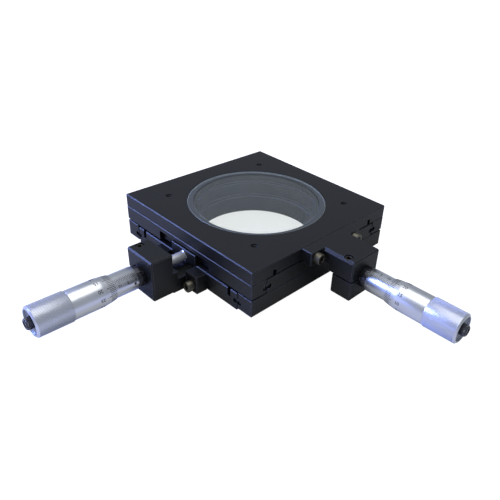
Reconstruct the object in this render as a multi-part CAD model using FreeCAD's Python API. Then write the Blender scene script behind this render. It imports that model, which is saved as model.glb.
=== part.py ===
import FreeCAD, Part
import math
import os

# Low-profile two-axis translation stage: three stacked plates on crossed-roller ways, a glazed
# round aperture, and a micrometer head for each axis. Millimetres, +Z up. The origin is the
# centre of the base's underside, and the plates are at mid-travel, centred on each other.

V = FreeCAD.Vector

# ---- driving dimensions ----
SIDE = 125.0  # plan size of the stack
HALF = SIDE / 2
TRAVEL = 12.5  # each axis, either side of mid-travel
BED_HALF = 50.1  # half width of the plates that carry the inner ways
RAIL_INNER = 50.9  # inner face of the guide rails
EDGE_BREAK = 0.5  # chamfer on machined edges

BASE_TOP = 12.25
LOWER_RAIL_LOW = 1.8
MIDDLE_LOW = 13.15
MIDDLE_TOP = 22.95
UPPER_RAIL_LOW = 14.05
TOP_LOW = 23.75
TOP_TOP = 32.75

BASE_BORE_R = 41.0
BORE_R = 42.5  # middle and top plates
GLASS_R = 46.9
GLASS_THICK = 3.9
GLASS_SEAT = TOP_TOP - 4.0

LOWER_WAY_Z = 6.4  # centre of the rollers under the middle plate
UPPER_WAY_Z = 17.8  # centre of the rollers under the top plate
WAY_OFFSET = (BED_HALF + RAIL_INNER) / 2
ROLLER_R = 1.5
ROLLER_LENGTH = 2.8
ROLLER_PITCH = 6.0
ROLLERS_PER_CAGE = 15
WAY_HALF_DIAGONAL = (ROLLER_R + 0.05) * math.sqrt(2)
CAGE_HALF_LENGTH = 45.0

HOLE_SPACING = 84.2  # tapped holes in the top plate
HOLE_R = 2.1
FOOT_HOLE_X = 35.0
FOOT_HOLE_Y = 52.0
FOOT_HOLE_R = 2.25

SPRING_SLOT_WIDTH = 3.0
BASE_SLOT = 43.1  # centre line of the base's spring slots
TOP_SLOT = 44.9  # centre line of the top plate's spring slots
BASE_SLOT_FLOOR = 6.7
TOP_SLOT_ROOF = 27.75

# Micrometer heads. Stations run outward from the stage centre, along the screw.
ANVIL_FACE = HALF + 0.6
STEP_FACE = 76.0
BLOCK_IN = 78.75
BLOCK_OUT = 93.6
BLOCK_HALF = 12.5
BLOCK_HEIGHT = 27.2
ARM_HEIGHT = 9.0
STEP_HEIGHT = 14.2
AXIS_DEPTH = 13.84  # from the bracket's flush face to the screw
FLANGE_HALF = 23.0
FLANGE_THICK = 8.0
STEM_R = 5.0
COLLAR_R = 6.75
COLLAR_OUT = 98.7
SLEEVE_R = 7.15
SLEEVE_OUT = 131.0
SPINDLE_R = 3.175
THREAD_R = 3.9
THIMBLE_EDGE = 113.1
BEVEL_END = 120.4
THIMBLE_R = 8.6
GRIP_IN = 138.4
GRIP_R = 9.05
GRIP_OUT = 159.0
KNOB_R = 3.35
KNOB_OUT = 161.5
FIT = 0.05  # radial running clearance
NUT_IN = 119.0  # thread nut in the mouth of the sleeve
NUT_R = 5.9
CAVITY_IN = 92.0
CAVITY_R = 4.3
TAIL_R = 3.0
TAIL_OUT = 155.2
WEB_IN = 147.0
WEB_OUT = 152.0
CAP_IN = 155.6
CAP_OUT = 158.0
PAN_R = 7.35
SCREW_HEAD_IN = 160.2

# Screws
SMALL_HEAD_R = 2.75
SMALL_HEAD_HIGH = 2.9
SMALL_SHANK_R = 1.5
SMALL_SOCKET = 2.5
COUNTERBORE_R = 2.9
SINK = 3.2  # depth of the rail screws' counterbores
SCREW_BITE = 5.5
RAIL_SCREW_LINE = 57.9
LOWER_SCREW_STATIONS = (-42.0, -15.0, 15.0, 42.0)
UPPER_SCREW_STATIONS = (-54.0, -31.0, 31.0, 54.0)
STOP_OFFSET = 2.0  # stop screw centre, from the roller line
STOP_HEAD_R = 1.5
STOP_HEAD_DEEP = 2.2
STOP_SHANK_R = 0.8
STOP_SHANK_LONG = 5.0

# Drive tab, anvils and brackets
TAB_HALF = 11.8
TAB_OUTER = -62.8
TAB_INNER = -59.8
TAB_LOW = 9.5
TAB_HIGH = 19.2
TAB_FOOT_END = -44.2
TAB_SCREW_X = 7.5
TAB_SCREW_Y = -47.0
TAB_SCREW_HEAD_HIGH = 1.7
TAB_SCREW_SINK = 1.9
TAB_POCKET_FLOOR = 9.1
TAB_POCKET_ROOF = 21.0
ANVIL_R = 3.6
ANVIL_DEEP = 1.8
BRACKET_SCREW_Y = 17.75
BRACKET_SCREW_DEPTH = 4.5
BRACKET_SCREW_LONG = 14.0
BRACKET_HEAD_R = 3.5
BRACKET_HEAD_HIGH = 4.0
BRACKET_SHANK_R = 2.0
BRACKET_SOCKET = 3.0
CLAMP_X = 87.0
CLAMP_Y = -9.0
CLAMP_HEAD_SINK = 3.4
CLAMP_SHANK_LONG = 16.6
SLIT_HALF = 0.6
WIDE_EDGE = 1.5  # chamfer on the X bracket's clamping side

# Return springs and their pins
PIN_R = 0.8
BASE_PIN = 52.0  # fixed end, from the centre
FAR_PIN = 22.0  # moving end, from the centre
SPRING_R = 1.3
EYE_R = 1.1
WIRE_R = 0.22


def box(x0, x1, y0, y1, z0, z1):
    return Part.makeBox(x1 - x0, y1 - y0, z1 - z0, V(x0, y0, z0))


def cylinder(start, direction, radius, length):
    return Part.makeCylinder(radius, length, V(*start), V(*direction))


def turned(profile):
    """Solid of revolution about X from its (station, radius) corners."""
    corners = [V(x, 0, r) for x, r in profile]
    face = Part.Face(Part.makePolygon(corners + corners[:1]))
    return face.revolve(V(0, 0, 0), V(1, 0, 0), 360)


def prism(outline, start, length):
    """Closed outline extruded by a vector."""
    corners = [V(*start) + V(*p) for p in outline]
    return Part.Face(Part.makePolygon(corners + corners[:1])).extrude(V(*length))


def edge_broken(solid, size=EDGE_BREAK):
    return solid.makeChamfer(size, solid.Edges)


def joined(solids):
    first = solids[0]
    return first.fuse(solids[1:]).removeSplitter() if solids[1:] else first


def moved(shape, dx=0.0, dy=0.0, dz=0.0):
    return shape.translated(V(dx, dy, dz))


def quarter_turned(shape):
    """From the X axis to the Y axis: +X goes to -Y."""
    return shape.rotated(V(0, 0, 0), V(0, 0, 1), -90)


def half_turned(shape):
    return shape.rotated(V(0, 0, 0), V(0, 0, 1), 180)


# ---- ways, cages and rollers, built for travel along X at y = +WAY_OFFSET ----
def way_cutter(z):
    """Square groove stood on its corner, with a relief slot at its roots."""
    h = WAY_HALF_DIAGONAL
    outline = [(0, h, 0), (0, 0, h), (0, -h, 0), (0, 0, -h)]
    groove = prism(outline, (-HALF - 1, WAY_OFFSET, z), (SIDE + 2, 0, 0))
    relief = box(-HALF - 1, HALF + 1, WAY_OFFSET - 2.8, WAY_OFFSET + 2.8, z - 0.4, z + 0.4)
    return joined([groove, relief])


def stop_screw(y, z):
    """Small screw at the +X end of a way, sunk below the end face."""
    head_at = HALF - STOP_HEAD_DEEP
    head = cylinder((head_at, y, z), (1, 0, 0), STOP_HEAD_R, 1.0)
    shank = cylinder((head_at - STOP_SHANK_LONG, y, z), (1, 0, 0), STOP_SHANK_R, STOP_SHANK_LONG)
    slot = box(head_at + 0.6, HALF, y - 2, y + 2, z - 0.2, z + 0.2)
    return joined([head, shank]).cut(slot)


def stop_pocket(y, z):
    head_at = HALF - STOP_HEAD_DEEP
    pocket = cylinder((head_at, y, z), (1, 0, 0), STOP_HEAD_R + 0.15, STOP_HEAD_DEEP + 1)
    hole = cylinder((head_at - STOP_SHANK_LONG, y, z), (1, 0, 0), STOP_SHANK_R, STOP_SHANK_LONG)
    return joined([pocket, hole])


def four_corners(shape):
    """The shape at +X +Y, mirrored to the other three corners."""
    across = shape.mirror(V(0, 0, 0), V(0, 1, 0))
    pair = [shape, across]
    return pair + [s.mirror(V(0, 0, 0), V(1, 0, 0)) for s in pair]


def roller_at(x, y, z, lean):
    s = math.sqrt(0.5)
    direction = (0, s * lean, s)
    start = (x, y - direction[1] * ROLLER_LENGTH / 2, z - s * ROLLER_LENGTH / 2)
    return cylinder(start, direction, ROLLER_R, ROLLER_LENGTH)


def cage_and_rollers(z):
    """Both sides' cage strips and crossed rollers, for travel along X."""
    strips = []
    rollers = []
    for side in (-1, 1):
        y = side * WAY_OFFSET
        strip = box(-CAGE_HALF_LENGTH, CAGE_HALF_LENGTH, y - 0.25, y + 0.25, z - 3.0, z + 3.0)
        windows = []
        for n in range(ROLLERS_PER_CAGE):
            x = (n - (ROLLERS_PER_CAGE - 1) / 2) * ROLLER_PITCH
            windows.append(box(x - 1.6, x + 1.6, y - 1, y + 1, z - 2.2, z + 2.2))
            rollers.append(roller_at(x, y, z, 1 if n % 2 else -1))
        strips.append(strip.cut(windows))
    return Part.makeCompound(strips), Part.makeCompound(rollers)


# ---- screws ----
def cap_screw(head_r, head_high, shank_r, shank_long, socket):
    """Socket head screw pointing down, with the underside of its head at the origin."""
    head = cylinder((0, 0, 0), (0, 0, 1), head_r, head_high)
    head = head.makeChamfer(0.25, [e for e in head.Edges if e.BoundBox.ZMin > head_high - 0.01])
    shank = cylinder((0, 0, -shank_long), (0, 0, 1), shank_r, shank_long)
    corner = socket / math.sqrt(3)
    hexagon = [
        (corner * math.cos(math.radians(a)), corner * math.sin(math.radians(a)), 0)
        for a in range(0, 360, 60)
    ]
    recess = prism(hexagon, (0, 0, head_high * 0.45), (0, 0, head_high))
    return joined([head, shank]).cut(recess)


def small_cap_screw(shank_long):
    return cap_screw(SMALL_HEAD_R, SMALL_HEAD_HIGH, SMALL_SHANK_R, shank_long, SMALL_SOCKET)


def screw_hole(x, y, head_low, sink, hole_to):
    """Counterbored hole from below for a small cap screw."""
    head = cylinder((x, y, head_low - 1), (0, 0, 1), COUNTERBORE_R, sink + 1)
    shank = cylinder((x, y, head_low), (0, 0, 1), SMALL_SHANK_R, hole_to - head_low)
    return joined([head, shank])


def rail_screws(stations, rail_low, plate_low):
    """Screws for a rail pair along X, from below."""
    long = plate_low - rail_low - SINK + SCREW_BITE
    screw = small_cap_screw(long).rotated(V(0, 0, 0), V(1, 0, 0), 180)
    spots = [(x, s * RAIL_SCREW_LINE) for x in stations for s in (-1, 1)]
    return [moved(screw, x, y, rail_low + SINK) for x, y in spots]


def rail_screw_holes(stations, rail_low, plate_low):
    top = plate_low + SCREW_BITE
    spots = [(x, s * RAIL_SCREW_LINE) for x in stations for s in (-1, 1)]
    return [screw_hole(x, y, rail_low, SINK, top) for x, y in spots]


# ---- plates and rails ----
def base_plate():
    plate = edge_broken(box(-BED_HALF, BED_HALF, -HALF, HALF, 0, BASE_TOP))
    bore = cylinder((0, 0, -1), (0, 0, 1), BASE_BORE_R, BASE_TOP + 2)
    half_slot = SPRING_SLOT_WIDTH / 2
    tools = [bore]
    for side in (-1, 1):
        x = side * BASE_SLOT
        tools.append(box(x - half_slot, x + half_slot, -HALF - 1, HALF + 1, BASE_SLOT_FLOOR, BASE_TOP + 1))
        for end in (-1, 1):
            spot = (side * FOOT_HOLE_X, end * FOOT_HOLE_Y)
            tools.append(cylinder((*spot, -1), (0, 0, 1), FOOT_HOLE_R, BASE_TOP + 2))
            tools.append(cylinder((*spot, BASE_TOP - 4.6), (0, 0, 1), 4.0, 6))
    way = quarter_turned(way_cutter(LOWER_WAY_Z))
    tools += [way, half_turned(way)]
    corner = quarter_turned(stop_pocket(WAY_OFFSET - STOP_OFFSET, LOWER_WAY_Z))
    tools += four_corners(corner)
    room = TAB_HALF + 0.5
    reach = TAB_FOOT_END + TRAVEL + 0.6
    tools.append(box(-room, room, -HALF - 1, reach, TAB_POCKET_FLOOR, BASE_TOP + 1))
    tools += bracket_screw_holes(0.0, 1, True)
    tools.append(cylinder((BASE_SLOT, -BASE_PIN, BASE_SLOT_FLOOR - 3), (0, 0, 1), PIN_R, 4))
    return plate.cut(tools)


def lower_rails():
    """Right and left rails under the middle plate, with their ways facing inward."""
    rail = edge_broken(box(-HALF, HALF, RAIL_INNER, HALF, LOWER_RAIL_LOW, MIDDLE_LOW), 0.3)
    tools = [way_cutter(LOWER_WAY_Z)]
    tools += four_corners(stop_pocket(WAY_OFFSET + STOP_OFFSET, LOWER_WAY_Z))
    tools += rail_screw_holes(LOWER_SCREW_STATIONS, LOWER_RAIL_LOW, MIDDLE_LOW)
    right = half_turned(quarter_turned(rail.cut(tools)))
    return half_turned(right), right


def middle_plate():
    plate = edge_broken(box(-HALF, HALF, -BED_HALF, BED_HALF, MIDDLE_LOW, MIDDLE_TOP))
    bore = cylinder((0, 0, MIDDLE_LOW - 1), (0, 0, 1), BORE_R, MIDDLE_TOP - MIDDLE_LOW + 2)
    way = way_cutter(UPPER_WAY_Z)
    tools = [bore, way, half_turned(way)]
    tools += four_corners(stop_pocket(WAY_OFFSET - STOP_OFFSET, UPPER_WAY_Z))
    holes = rail_screw_holes(LOWER_SCREW_STATIONS, LOWER_RAIL_LOW, MIDDLE_LOW)
    tools += [quarter_turned(h) for h in holes]
    for side in (-1, 1):
        x = side * TAB_SCREW_X
        tools.append(cylinder((x, TAB_SCREW_Y, MIDDLE_LOW - 1), (0, 0, 1), 1.5, 5.0))
    axis_z = TOP_TOP - AXIS_DEPTH
    tools.append(cylinder((HALF - ANVIL_DEEP, 0, axis_z), (1, 0, 0), ANVIL_R, ANVIL_DEEP + 1))
    tools.append(cylinder((-BASE_PIN, TOP_SLOT, MIDDLE_TOP - 4), (0, 0, 1), PIN_R, 5))
    tools.append(cylinder((BASE_SLOT, FAR_PIN, MIDDLE_LOW - 1), (0, 0, 1), PIN_R, 5))
    return plate.cut(tools)


def upper_rails():
    """Rear and front rails under the top plate. The front one has a pocket for the drive tab."""
    rail = edge_broken(box(-HALF, HALF, RAIL_INNER, HALF, UPPER_RAIL_LOW, TOP_LOW), 0.3)
    tools = [way_cutter(UPPER_WAY_Z)]
    tools += four_corners(stop_pocket(WAY_OFFSET + STOP_OFFSET, UPPER_WAY_Z))
    tools += rail_screw_holes(UPPER_SCREW_STATIONS, UPPER_RAIL_LOW, TOP_LOW)
    rear = rail.cut(tools)
    pocket_half = TAB_HALF + TRAVEL + 0.7
    pocket = box(-pocket_half, pocket_half, -HALF - 1, TAB_INNER + 0.4, UPPER_RAIL_LOW - 1, TAB_POCKET_ROOF)
    return rear, half_turned(rear).cut(pocket)


def top_plate():
    plate = edge_broken(box(-HALF, HALF, -HALF, HALF, TOP_LOW, TOP_TOP))
    tools = [cylinder((0, 0, TOP_LOW - 1), (0, 0, 1), BORE_R, TOP_TOP - TOP_LOW + 2)]
    tools.append(cylinder((0, 0, GLASS_SEAT), (0, 0, 1), GLASS_R + 0.1, TOP_TOP - GLASS_SEAT + 1))
    half_slot = SPRING_SLOT_WIDTH / 2
    for side in (-1, 1):
        y = side * TOP_SLOT
        tools.append(box(-HALF - 1, HALF + 1, y - half_slot, y + half_slot, TOP_LOW - 1, TOP_SLOT_ROOF))
        for end in (-1, 1):
            spot = (side * HOLE_SPACING / 2, end * HOLE_SPACING / 2)
            tools.append(cylinder((*spot, TOP_SLOT_ROOF + 0.3), (0, 0, 1), HOLE_R, 6))
    tools += rail_screw_holes(UPPER_SCREW_STATIONS, UPPER_RAIL_LOW, TOP_LOW)
    tools += bracket_screw_holes(TOP_TOP, -1, False)
    tools.append(cylinder((FAR_PIN, TOP_SLOT, TOP_SLOT_ROOF - 1), (0, 0, 1), PIN_R, 4))
    return plate.cut(tools)


def window_glass():
    disc = cylinder((0, 0, GLASS_SEAT), (0, 0, 1), GLASS_R, GLASS_THICK)
    rims = [e for e in disc.Edges if e.BoundBox.XLength > GLASS_R]
    return disc.makeChamfer(0.35, rims)


# ---- drive tab and anvils ----
def drive_tab():
    """L-shaped tab under the middle plate's front edge, standing in front of the lower rollers."""
    wall = box(-TAB_HALF, TAB_HALF, TAB_OUTER, TAB_INNER, TAB_LOW, TAB_HIGH)
    foot = box(-TAB_HALF, TAB_HALF, TAB_INNER, TAB_FOOT_END, TAB_LOW, MIDDLE_LOW)
    tab = joined([wall, foot])
    tab = tab.makeChamfer(0.4, [e for e in tab.Edges if e.BoundBox.YMax < TAB_OUTER + 0.01])
    anvil = cylinder((0, TAB_OUTER + ANVIL_DEEP, AXIS_DEPTH), (0, -1, 0), ANVIL_R, 4)
    tools = [anvil]
    for side in (-1, 1):
        hole = screw_hole(side * TAB_SCREW_X, TAB_SCREW_Y, TAB_LOW, TAB_SCREW_SINK, MIDDLE_LOW + 1)
        tools.append(hole)
    return tab.cut(tools)


def tab_screws():
    screw = cap_screw(SMALL_HEAD_R, TAB_SCREW_HEAD_HIGH, SMALL_SHANK_R, SCREW_BITE, 2.0)
    screw = screw.rotated(V(0, 0, 0), V(1, 0, 0), 180)
    head_at = TAB_LOW + TAB_SCREW_SINK
    return [moved(screw, s * TAB_SCREW_X, TAB_SCREW_Y, head_at) for s in (-1, 1)]


def anvil_button(back):
    """Hardened disc on X, from the bottom of its hole to the spindle's face."""
    disc = cylinder((back, 0, 0), (1, 0, 0), ANVIL_R, ANVIL_FACE - back)
    return disc.makeChamfer(0.25, [e for e in disc.Edges if e.BoundBox.XMin > ANVIL_FACE - 0.01])


# ---- brackets, built on the +X side ----
def bracket_screw_holes(flush, way, to_y_axis):
    """Tapped holes in a plate's end face, for the bracket's two flange screws."""
    z = flush + way * BRACKET_SCREW_DEPTH
    deep = BRACKET_SCREW_LONG - FLANGE_THICK
    spots = [(HALF - deep, s * BRACKET_SCREW_Y, z) for s in (-1, 1)]
    holes = [cylinder(spot, (1, 0, 0), BRACKET_SHANK_R, deep) for spot in spots]
    return [quarter_turned(h) for h in holes] if to_y_axis else holes


def bracket(flange_height):
    """Bracket with its flush face at z = 0 and its body above it, the screw line at AXIS_DEPTH."""
    half = BLOCK_HALF
    block = box(BLOCK_IN, BLOCK_OUT, -half, half, 0, BLOCK_HEIGHT)
    block = edge_broken(block, 0.8)
    ears = box(HALF, HALF + FLANGE_THICK, -FLANGE_HALF, FLANGE_HALF, 0, flange_height)
    ears = edge_broken(ears, 0.4)
    if flange_height > ARM_HEIGHT:
        ears = ears.cut(box(HALF - 1, HALF + FLANGE_THICK + 1, -half, half, ARM_HEIGHT, flange_height + 1))
    arm = box(HALF + 1, BLOCK_IN + 1, -half, half, 0, ARM_HEIGHT)
    step = box(STEP_FACE, BLOCK_IN + 1, -half, half, 0, STEP_HEIGHT)
    body = joined([block, ears, arm, step])
    tools = [cylinder((BLOCK_IN - 4, 0, AXIS_DEPTH), (1, 0, 0), STEM_R + 0.02, 30)]
    slit_low = AXIS_DEPTH - SLIT_HALF
    slit_high = AXIS_DEPTH + SLIT_HALF
    tools.append(box(BLOCK_IN - 4, BLOCK_OUT + 1, -half - 1, 0, slit_low, slit_high))
    for side in (-1, 1):
        spot = (HALF - 1, side * BRACKET_SCREW_Y, BRACKET_SCREW_DEPTH)
        tools.append(cylinder(spot, (1, 0, 0), BRACKET_SHANK_R + 0.1, FLANGE_THICK + 2))
    return body, tools


def clamp_hole(low):
    """Hole for the clamp screw through the block, headed at its high face."""
    high = low + BLOCK_HEIGHT
    head = cylinder((CLAMP_X, CLAMP_Y, high - CLAMP_HEAD_SINK), (0, 0, 1), COUNTERBORE_R, 10)
    shank = cylinder((CLAMP_X, CLAMP_Y, high - 20), (0, 0, 1), SMALL_SHANK_R, 20)
    return [head, shank]


def clamp_screw(high):
    return moved(small_cap_screw(CLAMP_SHANK_LONG), CLAMP_X, CLAMP_Y, high - CLAMP_HEAD_SINK)


def x_bracket():
    """Hangs from the top plate: the bracket upside down, flush with the plate's top."""
    body, tools = bracket(TOP_TOP - TOP_LOW)
    body = body.cut(tools).mirror(V(0, 0, 0), V(0, 0, 1)).translated(V(0, 0, TOP_TOP))
    wedge = [(0, 0, 0), (0, WIDE_EDGE, 0), (0, 0, -WIDE_EDGE)]
    face = HALF + FLANGE_THICK
    wide_edge = prism(wedge, (face, -BLOCK_HALF, TOP_TOP), (BLOCK_OUT - 1.5 - face, 0, 0))
    return body.cut([*clamp_hole(TOP_TOP - BLOCK_HEIGHT), wide_edge])


def y_bracket():
    """Stands on the base's level, turned to the front."""
    body, tools = bracket(BASE_TOP)
    return quarter_turned(body.cut(tools + clamp_hole(0)))


def flange_screws(z):
    sizes = (BRACKET_HEAD_R, BRACKET_HEAD_HIGH, BRACKET_SHANK_R, BRACKET_SCREW_LONG, BRACKET_SOCKET)
    screw = cap_screw(*sizes).rotated(V(0, 0, 0), V(0, 1, 0), 90)
    return [moved(screw, HALF + FLANGE_THICK, s * BRACKET_SCREW_Y, z) for s in (-1, 1)]


# ---- micrometer head on X, with its screw on the X axis ----
def barrel():
    """Stem in the bracket, shoulder and graduated sleeve, bored for the spindle and its nut."""
    stem_in = BLOCK_IN + 0.5
    guide = SPINDLE_R + FIT
    body = turned(
        [
            (stem_in, guide),
            (stem_in, STEM_R),
            (COLLAR_OUT, STEM_R),
            (COLLAR_OUT, SLEEVE_R),
            (SLEEVE_OUT, SLEEVE_R),
            (SLEEVE_OUT, NUT_R),
            (NUT_IN, NUT_R),
            (NUT_IN, CAVITY_R),
            (CAVITY_IN, CAVITY_R),
            (CAVITY_IN, guide),
        ]
    )
    return body.cut(cylinder((100.7, SLEEVE_R - 1.5, 0), (0, 1, 0), 0.65, 3))


def collar():
    """Black lock nut that holds the stem against the bracket, with four spanner flats."""
    ring = turned(
        [
            (BLOCK_OUT, STEM_R),
            (BLOCK_OUT, COLLAR_R - 0.3),
            (BLOCK_OUT + 0.3, COLLAR_R),
            (COLLAR_OUT - 0.3, COLLAR_R),
            (COLLAR_OUT, COLLAR_R - 0.3),
            (COLLAR_OUT, STEM_R),
        ]
    )
    slots = []
    for n in range(6):
        slot = box(BLOCK_OUT + 1.2, COLLAR_OUT - 1.2, -0.8, 0.8, COLLAR_R - 0.5, COLLAR_R + 1)
        slots.append(slot.rotated(V(0, 0, 0), V(1, 0, 0), 60 * n + 15))
    return ring.cut(slots)


def thread_nut():
    bore = THREAD_R + FIT
    return turned([(NUT_IN, bore), (NUT_IN, NUT_R), (SLEEVE_OUT, NUT_R), (SLEEVE_OUT, bore)])


def spindle():
    """Measuring face, ground spindle, screwed length and the tail that takes the thimble."""
    tip_r = SPINDLE_R - 0.4
    body = turned(
        [
            (ANVIL_FACE, 0),
            (ANVIL_FACE, tip_r),
            (ANVIL_FACE + 0.4, SPINDLE_R),
            (105.0, SPINDLE_R),
            (105.8, THREAD_R),
            (144.4, THREAD_R),
            (145.2, TAIL_R),
            (TAIL_OUT, TAIL_R),
            (TAIL_OUT, 0),
        ]
    )
    return body.cut(cylinder((149.9, 0, 0), (1, 0, 0), 1.0, 10))


def thimble():
    """Bevelled scale edge, cylinder and grip in one turned shell, with a web on the tail."""
    bore = SLEEVE_R + 0.1
    return turned(
        [
            (THIMBLE_EDGE, bore),
            (THIMBLE_EDGE, bore + 0.25),
            (BEVEL_END, THIMBLE_R),
            (GRIP_IN, THIMBLE_R),
            (GRIP_IN, GRIP_R - 0.25),
            (GRIP_IN + 0.5, GRIP_R),
            (GRIP_OUT - 1.0, GRIP_R),
            (GRIP_OUT, GRIP_R - 1.0),
            (GRIP_OUT, PAN_R),
            (WEB_OUT, PAN_R),
            (WEB_OUT, TAIL_R),
            (WEB_IN, TAIL_R),
            (WEB_IN, bore),
        ]
    )


def thimble_nut():
    """Round nut on the spindle's tail, with two spanner holes."""
    ring = turned([(WEB_OUT, TAIL_R), (WEB_OUT, 6.0), (WEB_OUT + 2.6, 6.0), (WEB_OUT + 2.6, TAIL_R)])
    holes = [cylinder((WEB_OUT + 1, s * 4.6, 0), (1, 0, 0), 0.6, 3) for s in (-1, 1)]
    return ring.cut(holes)


def end_cap():
    hole = KNOB_R + 0.1
    return turned(
        [
            (CAP_IN, hole),
            (CAP_IN, PAN_R),
            (CAP_OUT, PAN_R),
            (CAP_OUT, hole + 0.4),
            (CAP_OUT - 0.4, hole),
        ]
    )


def ratchet_knob():
    """Thumb knob with a screw recess in its end and a pocket for the ratchet spring."""
    return turned(
        [
            (TAIL_OUT + 0.6, 2.3),
            (TAIL_OUT + 0.6, KNOB_R),
            (KNOB_OUT - 0.5, KNOB_R),
            (KNOB_OUT, KNOB_R - 0.5),
            (KNOB_OUT, 2.1),
            (SCREW_HEAD_IN - 0.05, 2.1),
            (SCREW_HEAD_IN - 0.05, 1.05),
            (158.0, 1.05),
            (158.0, 2.3),
        ]
    )


def ratchet_screw():
    head = cylinder((SCREW_HEAD_IN, 0, 0), (1, 0, 0), 1.95, 0.8)
    shank = cylinder((150.2, 0, 0), (1, 0, 0), 1.0, SCREW_HEAD_IN - 150.2)
    slot = box(SCREW_HEAD_IN + 0.4, 162, -0.25, 0.25, -3, 3)
    return joined([head, shank]).cut(slot)


def ratchet_spring():
    """Stack of three spring washers round the ratchet screw."""
    washers = []
    for n in range(3):
        x = TAIL_OUT + 0.05 + n * 0.85
        washers.append(turned([(x, 1.15), (x, 2.15), (x + 0.5, 2.15), (x + 0.5, 1.15)]))
    return Part.makeCompound(washers)


# ---- return springs ----
def return_spring(y, z, start, end):
    """Close-wound extension spring along X as its tube, with an eye round each pin."""
    eye = Part.makeTorus(EYE_R, WIRE_R)
    eyes = [moved(eye, x, y, z) for x in (start, end)]
    reach = EYE_R
    long = end - start - 2 * reach
    tube = cylinder((start + reach, y, z), (1, 0, 0), SPRING_R, long)
    bore = cylinder((start + reach - 1, y, z), (1, 0, 0), SPRING_R - 0.4, long + 2)
    links = [
        cylinder((start + reach - 0.1, y, z), (1, 0, 0), WIRE_R, 0.6),
        cylinder((end - reach - 0.5, y, z), (1, 0, 0), WIRE_R, 0.6),
    ]
    ends = [
        cylinder((start + reach + 0.1, y, z), (1, 0, 0), SPRING_R - 0.1, 0.4),
        cylinder((end - reach - 0.5, y, z), (1, 0, 0), SPRING_R - 0.1, 0.4),
    ]
    return joined([tube.cut(bore), *eyes, *links, *ends])


def write(name, shape):
    solids = shape.Solids
    if not shape.isValid() or any(s.Volume <= 0 for s in solids):
        print("check", name)
    shape.exportStep(f"parts/{name}.step")
    print(f"{name}: {len(solids)} solids, {shape.Volume:.1f} mm3")


def group(solids):
    return Part.makeCompound(list(solids))


def write_head(axis, z, place):
    """One axis's micrometer head, bracket screws and anvil."""
    pieces = {
        "barrel": barrel(),
        "lock_collar": collar(),
        "thread_nut": thread_nut(),
        "spindle": spindle(),
        "thimble": thimble(),
        "thimble_nut": thimble_nut(),
        "thimble_end_cap": end_cap(),
        "ratchet_knob": ratchet_knob(),
        "ratchet_screw": ratchet_screw(),
        "ratchet_spring": ratchet_spring(),
    }
    for name, shape in pieces.items():
        write(f"{axis}_{name}", place(moved(shape, dz=z)))


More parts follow.
